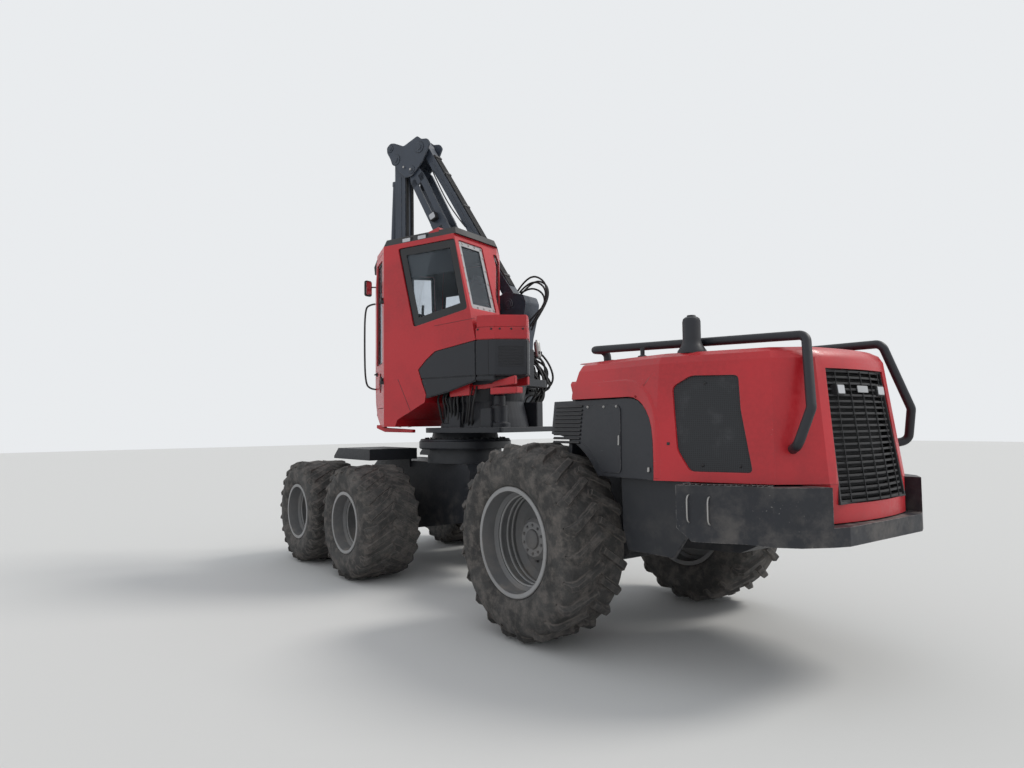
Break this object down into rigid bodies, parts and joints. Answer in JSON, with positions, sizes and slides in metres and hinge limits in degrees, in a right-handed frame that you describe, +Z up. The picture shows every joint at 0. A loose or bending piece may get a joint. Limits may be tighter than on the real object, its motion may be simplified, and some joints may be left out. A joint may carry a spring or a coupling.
{
  "type": "forestry harvester",
  "caption": "Articulated forestry harvester with rear and bogie wheels, turning cab and crane, hinged engine hood, and a felling head hanging from the crane's tip.",
  "frame": {"origin": "on the ground, at the centre of the machine's length and width", "axes": "+X forward along the carrier, +Y to its left, +Z up"},
  "size_m": [7.734, 2.9252, 6.08],
  "materials": {
    "tyre_rubber": "worn, dusty black rubber",
    "rim_grey": "worn grey paint",
    "frame_dark": "satin dark grey paint, scuffed",
    "body_red": "satin red paint",
    "panel_black": "satin black paint",
    "trim_black": "fine-textured black plastic",
    "glass": "clear, slightly tinted",
    "seat_fabric": "woven dark cloth",
    "crane_grey": "satin blue-grey paint",
    "rod_chrome": "polished",
    "head_dark": "worn dark paint",
    "worn_steel": "worn bright edges"
  },
  "bodies": {
    "rear_chassis": {"rear_frame": "frame_dark", "rear_axle": "frame_dark", "engine_block": "frame_dark", "rear_bumper": "frame_dark", "side_panels": "panel_black"},
    "hood": {"hood_shell": "body_red", "grille": "trim_black", "guard_rails": "panel_black"},
    "front_chassis": {"front_frame": "frame_dark", "bogies": "frame_dark", "deck_boxes": "frame_dark"},
    "superstructure": {"turntable": "frame_dark", "cab_shell": "panel_black", "cab_roof": "trim_black", "cab_glass": "glass", "cab_seat": "seat_fabric", "rear_box": "panel_black", "rear_band": "body_red", "crane_pillar": "crane_grey"},
    "door": {"cab_door": "panel_black", "door_glass": "glass"},
    "wheel_rear_left": {"tyre_rear_left": "tyre_rubber", "rim_rear_left": "rim_grey"},
    "wheel_rear_right": {"tyre_rear_right": "tyre_rubber", "rim_rear_right": "rim_grey"},
    "wheel_bogie_rear_left": {"tyre_bogie_rear_left": "tyre_rubber", "rim_bogie_rear_left": "rim_grey"},
    "wheel_bogie_rear_right": {"tyre_bogie_rear_right": "tyre_rubber", "rim_bogie_rear_right": "rim_grey"},
    "wheel_bogie_front_left": {"tyre_bogie_front_left": "tyre_rubber", "rim_bogie_front_left": "rim_grey"},
    "wheel_bogie_front_right": {"tyre_bogie_front_right": "tyre_rubber", "rim_bogie_front_right": "rim_grey"},
    "steer_barrel_left": {"steer_barrel_left": "crane_grey"},
    "steer_barrel_right": {"steer_barrel_right": "crane_grey"},
    "steer_rod_left": {"steer_rod_left": "rod_chrome"},
    "steer_rod_right": {"steer_rod_right": "rod_chrome"},
    "main_boom": {"main_boom": "crane_grey"},
    "lift_barrel": {"lift_barrel": "crane_grey"},
    "lift_rod": {"lift_rod": "rod_chrome"},
    "parallel_link": {"parallel_link": "crane_grey"},
    "knee_lever": {"knee_lever": "crane_grey"},
    "outer_boom": {"outer_boom": "crane_grey"},
    "jib_barrel": {"jib_barrel": "crane_grey"},
    "jib_rod": {"jib_rod": "rod_chrome"},
    "telescope": {"telescope": "crane_grey"},
    "hanger_link": {"hanger_link": "crane_grey"},
    "tilt_bracket": {"tilt_bracket": "head_dark"},
    "head_frame": {"head_frame": "head_dark"},
    "feed_arm_left": {"feed_arm_left": "head_dark"},
    "feed_arm_right": {"feed_arm_right": "head_dark"},
    "knife_left": {"knife_left": "worn_steel"},
    "knife_right": {"knife_right": "worn_steel"}
  },
  "joints": [
    {"name": "steering", "type": "hinge", "parent": "rear_chassis", "child": "front_chassis", "pos_m": [0.448, 0, 1], "axis": [0, 0, 1], "range_deg": [-40, 40]},
    {"name": "steer_barrel_left_pivot", "type": "hinge", "parent": "rear_chassis", "child": "steer_barrel_left", "pos_m": [-0.352, 0.32, 1], "axis": [0, 0, 1], "range_deg": [-6.3, 6.3]},
    {"name": "steer_rod_left_slide", "type": "slide", "parent": "steer_barrel_left", "child": "steer_rod_left", "axis": [1, 0, 0], "range_m": [-0.22, 0.22]},
    {"name": "steer_barrel_right_pivot", "type": "hinge", "parent": "rear_chassis", "child": "steer_barrel_right", "pos_m": [-0.352, -0.32, 1], "axis": [0, 0, 1], "range_deg": [-6.3, 6.3]},
    {"name": "steer_rod_right_slide", "type": "slide", "parent": "steer_barrel_right", "child": "steer_rod_right", "axis": [1, 0, 0], "range_m": [-0.22, 0.22]},
    {"name": "slew", "type": "hinge", "parent": "front_chassis", "child": "superstructure", "pos_m": [1.298, 0, 1.5], "axis": [0, 0, 1], "continuous": true},
    {"name": "door_hinge", "type": "hinge", "parent": "superstructure", "child": "door", "pos_m": [1.763, 0.92444, 2.3], "axis": [0, 0, 1], "range_deg": [0, 80]},
    {"name": "hood_hinge", "type": "hinge", "parent": "rear_chassis", "child": "hood", "pos_m": [-1.722, 0, 2.33], "axis": [0, 1, 0], "range_deg": [0, 50]},
    {"name": "wheel_rear_left_spin", "type": "hinge", "parent": "rear_chassis", "child": "wheel_rear_left", "pos_m": [-1.452, 0, 0.822], "axis": [0, 1, 0], "continuous": true},
    {"name": "wheel_rear_right_spin", "type": "hinge", "parent": "rear_chassis", "child": "wheel_rear_right", "pos_m": [-1.452, 0, 0.822], "axis": [0, 1, 0], "continuous": true},
    {"name": "wheel_bogie_rear_left_spin", "type": "hinge", "parent": "front_chassis", "child": "wheel_bogie_rear_left", "pos_m": [1.702, 0, 0.665], "axis": [0, 1, 0], "continuous": true},
    {"name": "wheel_bogie_rear_right_spin", "type": "hinge", "parent": "front_chassis", "child": "wheel_bogie_rear_right", "pos_m": [1.702, 0, 0.665], "axis": [0, 1, 0], "continuous": true},
    {"name": "wheel_bogie_front_left_spin", "type": "hinge", "parent": "front_chassis", "child": "wheel_bogie_front_left", "pos_m": [3.202, 0, 0.665], "axis": [0, 1, 0], "continuous": true},
    {"name": "wheel_bogie_front_right_spin", "type": "hinge", "parent": "front_chassis", "child": "wheel_bogie_front_right", "pos_m": [3.202, 0, 0.665], "axis": [0, 1, 0], "continuous": true},
    {"name": "boom_hinge", "type": "hinge", "parent": "superstructure", "child": "main_boom", "pos_m": [1.32646, -0.83767, 3.38], "axis": [0.3305, -0.9438, 0], "range_deg": [-56, 0]},
    {"name": "lift_barrel_pivot", "type": "hinge", "parent": "superstructure", "child": "lift_barrel", "pos_m": [1.58129, -0.74843, 2.45], "axis": [0.3305, -0.9438, 0], "range_deg": [-29.4, 0.1]},
    {"name": "lift_rod_slide", "type": "slide", "parent": "lift_barrel", "child": "lift_rod", "axis": [0.2307, 0.0808, 0.9697], "range_m": [-0.633, 0.001]},
    {"name": "parallel_link_pivot", "type": "hinge", "parent": "superstructure", "child": "parallel_link", "pos_m": [1.6096, -0.73852, 3], "axis": [0.3305, -0.9438, 0], "range_deg": [-56.1, 0.1]},
    {"name": "knee_lever_pivot", "type": "hinge", "parent": "main_boom", "child": "knee_lever", "pos_m": [2.78935, -0.32537, 5.85], "axis": [0.3305, -0.9438, 0], "range_deg": [-0.1, 84.1]},
    {"name": "jib_hinge", "type": "hinge", "parent": "knee_lever", "child": "outer_boom", "pos_m": [3.2235, -0.17333, 5.76], "axis": [0.3305, -0.9438, 0], "range_deg": [0, 90]},
    {"name": "jib_barrel_pivot", "type": "hinge", "parent": "outer_boom", "child": "jib_barrel", "pos_m": [3.40282, -0.11054, 4.3], "axis": [0.3305, -0.9438, 0], "range_deg": [-4.6, 0.1]},
    {"name": "jib_rod_slide", "type": "slide", "parent": "jib_barrel", "child": "jib_rod", "axis": [-0.0457, -0.016, 0.9988], "range_m": [-0.293, 0.001]},
    {"name": "telescope_slide", "type": "slide", "parent": "outer_boom", "child": "telescope", "axis": [0, 0, -1], "range_m": [0, 1.501]},
    {"name": "hanger_link_pivot", "type": "hinge", "parent": "telescope", "child": "hanger_link", "pos_m": [3.19519, -0.18325, 3.23], "axis": [0.3305, -0.9438, 0], "range_deg": [-90.1, 0.1]},
    {"name": "rotator", "type": "hinge", "parent": "hanger_link", "child": "tilt_bracket", "pos_m": [3.19519, -0.18325, 2.8], "axis": [0, 0, 1], "continuous": true},
    {"name": "head_tilt", "type": "hinge", "parent": "tilt_bracket", "child": "head_frame", "pos_m": [3.19519, -0.18325, 2.52], "axis": [-0.4695, -0.8829, 0], "range_deg": [0, 90]},
    {"name": "feed_arm_left_hinge", "type": "hinge", "parent": "head_frame", "child": "feed_arm_left", "pos_m": [3.24174, 0.0321, 2.32], "axis": [0.8829, -0.4695, 0], "range_deg": [0, 35]},
    {"name": "knife_left_hinge", "type": "hinge", "parent": "head_frame", "child": "knife_left", "pos_m": [3.57196, -0.14348, 2.32], "axis": [0.8829, -0.4695, 0], "range_deg": [0, 60]},
    {"name": "feed_arm_right_hinge", "type": "hinge", "parent": "head_frame", "child": "feed_arm_right", "pos_m": [3.04268, -0.34227, 2.32], "axis": [0.8829, -0.4695, 0], "range_deg": [-35, 0]},
    {"name": "knife_right_hinge", "type": "hinge", "parent": "head_frame", "child": "knife_right", "pos_m": [3.3729, -0.51785, 2.32], "axis": [0.8829, -0.4695, 0], "range_deg": [-60, 0]}
  ],
  "couplings": [
    {"joint": "steer_barrel_left_pivot", "follows": "steering", "ratio": 0.15508},
    {"joint": "steer_rod_left_slide", "follows": "steering", "m_per_rad": -0.31197},
    {"joint": "steer_barrel_right_pivot", "follows": "steering", "ratio": 0.15508},
    {"joint": "steer_rod_right_slide", "follows": "steering", "m_per_rad": 0.31197},
    {"joint": "lift_barrel_pivot", "follows": "boom_hinge", "ratio": 0.52265},
    {"joint": "lift_rod_slide", "follows": "boom_hinge", "m_per_rad": 0.64619},
    {"joint": "parallel_link_pivot", "follows": "boom_hinge", "ratio": 1},
    {"joint": "knee_lever_pivot", "follows": "boom_hinge", "ratio": -1.5},
    {"joint": "jib_barrel_pivot", "follows": "jib_hinge", "ratio": -0.04931},
    {"joint": "jib_rod_slide", "follows": "jib_hinge", "m_per_rad": -0.18569},
    {"joint": "telescope_slide", "follows": "jib_hinge", "m_per_rad": 0.955},
    {"joint": "hanger_link_pivot", "follows": "jib_hinge", "ratio": -1},
    {"joint": "feed_arm_right_hinge", "follows": "feed_arm_left_hinge", "ratio": -1},
    {"joint": "knife_right_hinge", "follows": "knife_left_hinge", "ratio": -1}
  ]
}
